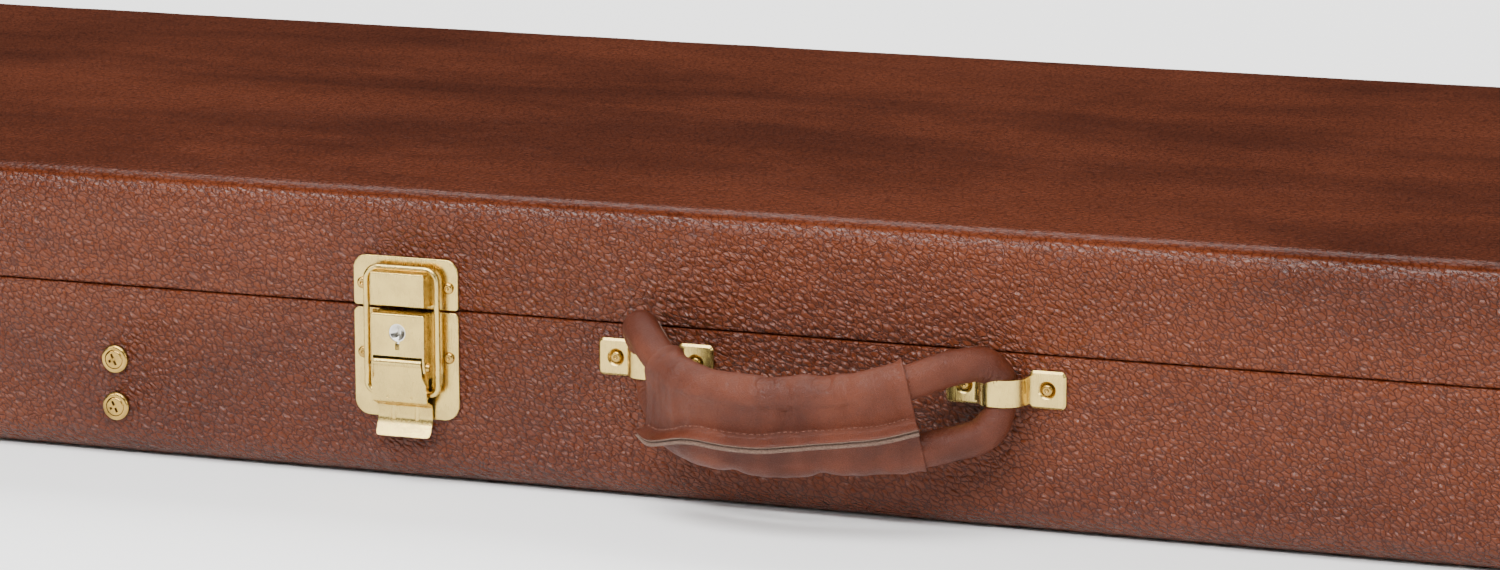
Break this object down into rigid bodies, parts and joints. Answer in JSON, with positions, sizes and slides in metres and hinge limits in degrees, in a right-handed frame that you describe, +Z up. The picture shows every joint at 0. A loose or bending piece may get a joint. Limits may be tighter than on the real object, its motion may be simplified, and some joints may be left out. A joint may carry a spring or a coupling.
{
  "type": "guitar case",
  "caption": "Rectangular covered-plywood guitar case with hinged lid, draw latches, leather loop handle and plush-lined bays.",
  "frame": {"origin": "centre of the flat underside the closed case rests on", "axes": "+X along the length, towards the body end; the handle side faces -Y; +Z up through the lid"},
  "size_m": [1.05, 0.4345, 0.108],
  "materials": {
    "vinyl_outer": "pebble-grained leathercloth, semi-gloss",
    "handle_leather": "smooth soft leather",
    "plywood": "raw plywood",
    "satin_brass": "pale satin brass plate",
    "bright_brass": "bright brass rivets, pins and washers",
    "lock_steel": "polished nickel",
    "plush": "short old-gold plush over foam",
    "ribbon": "woven ribbon",
    "foot_rubber": "matt rubber"
  },
  "bodies": {
    "base": {"base_panel": "plywood", "base_front_board": "plywood", "base_back_board": "plywood", "base_end_boards": "plywood", "base_corner_posts": "plywood", "base_bottom_sheet": "vinyl_outer", "base_covering": "vinyl_outer", "rim_tongue": "vinyl_outer", "neck_partition": "plywood", "cup_washers": "bright_brass", "partition_screws": "bright_brass", "base_floor_pad": "plush", "base_wall_lining": "plush", "neck_rest_pad": "plush", "compartment_walls": "plywood", "rear_support_pad": "plush", "bout_pads": "plush", "latch_plate_left": "satin_brass", "latch_plate_lock": "satin_brass", "latch_plate_right": "satin_brass", "lever_pins": "bright_brass", "handle_bracket_left": "satin_brass", "handle_bracket_right": "satin_brass", "hinge_left_base_leaf": "satin_brass", "hinge_middle_base_leaf": "satin_brass", "hinge_right_base_leaf": "satin_brass", "hinge_pins": "bright_brass", "base_rivets": "bright_brass", "base_feet": "foot_rubber"},
    "lid": {"lid_panel": "plywood", "lid_front_board": "plywood", "lid_back_board": "plywood", "lid_end_boards": "plywood", "lid_corner_posts": "plywood", "lid_covering": "vinyl_outer", "lid_pad": "plush", "lid_wall_lining": "plush", "catch_plate_left": "satin_brass", "catch_plate_lock": "satin_brass", "catch_plate_right": "satin_brass", "hinge_left_lid_leaf": "satin_brass", "hinge_middle_lid_leaf": "satin_brass", "hinge_right_lid_leaf": "satin_brass", "lid_rivets": "bright_brass", "lid_feet": "foot_rubber"},
    "compartment_lid": {"compartment_lid": "plush", "compartment_hinge_tape": "ribbon", "compartment_pull_tab": "ribbon"},
    "handle": {"handle_loop_left": "handle_leather", "handle_loop_right": "handle_leather", "grip_core": "handle_leather", "grip_sleeve": "handle_leather"},
    "lock_barrel": {"lock_barrel": "lock_steel"},
    "lever_left": {"lever_left": "satin_brass"},
    "bail_left": {"bail_left": "satin_brass"},
    "lever_lock": {"lever_lock": "satin_brass"},
    "bail_lock": {"bail_lock": "satin_brass"},
    "lever_right": {"lever_right": "satin_brass"},
    "bail_right": {"bail_right": "satin_brass"}
  },
  "joints": [
    {"name": "lid_hinge", "type": "hinge", "parent": "base", "child": "lid", "pos_m": [0, 0.1928, 0.0656], "axis": [-1, 0, 0], "range_deg": [0, 100]},
    {"name": "compartment_hinge", "type": "hinge", "parent": "base", "child": "compartment_lid", "pos_m": [-0.097, -0.1714, 0.0632], "axis": [1, 0, 0], "range_deg": [0, 90], "deforming": ["compartment_hinge_tape"]},
    {"name": "handle_swing", "type": "hinge", "parent": "base", "child": "handle", "pos_m": [0.07, -0.196, 0.0533], "axis": [-1, 0, 0], "range_deg": [-15, 45], "deforming": ["handle_loop_left", "handle_loop_right"]},
    {"name": "key_turn", "type": "hinge", "parent": "base", "child": "lock_barrel", "pos_m": [-0.094, -0.196, 0.0578], "axis": [0, -1, 0], "range_deg": [0, 90]},
    {"name": "lever_left_pivot", "type": "hinge", "parent": "base", "child": "lever_left", "pos_m": [-0.4, -0.1963, 0.045], "axis": [-1, 0, 0], "range_deg": [0, 105]},
    {"name": "bail_left_pivot", "type": "hinge", "parent": "lever_left", "child": "bail_left", "pos_m": [-0.4, -0.1946, 0.0346], "axis": [-1, 0, 0], "range_deg": [-102, 0]},
    {"name": "lever_lock_pivot", "type": "hinge", "parent": "base", "child": "lever_lock", "pos_m": [-0.094, -0.1963, 0.045], "axis": [-1, 0, 0], "range_deg": [0, 105]},
    {"name": "bail_lock_pivot", "type": "hinge", "parent": "lever_lock", "child": "bail_lock", "pos_m": [-0.094, -0.1946, 0.0346], "axis": [-1, 0, 0], "range_deg": [-102, 0]},
    {"name": "lever_right_pivot", "type": "hinge", "parent": "base", "child": "lever_right", "pos_m": [0.4, -0.1963, 0.045], "axis": [-1, 0, 0], "range_deg": [0, 105]},
    {"name": "bail_right_pivot", "type": "hinge", "parent": "lever_right", "child": "bail_right", "pos_m": [0.4, -0.1946, 0.0346], "axis": [-1, 0, 0], "range_deg": [-102, 0]}
  ],
  "couplings": [
    {"joint": "compartment_hinge", "follows": "lid_hinge", "ratio": 0.85},
    {"joint": "bail_left_pivot", "follows": "lever_left_pivot", "ratio": -0.96},
    {"joint": "bail_lock_pivot", "follows": "lever_lock_pivot", "ratio": -0.96},
    {"joint": "bail_right_pivot", "follows": "lever_right_pivot", "ratio": -0.96}
  ]
}
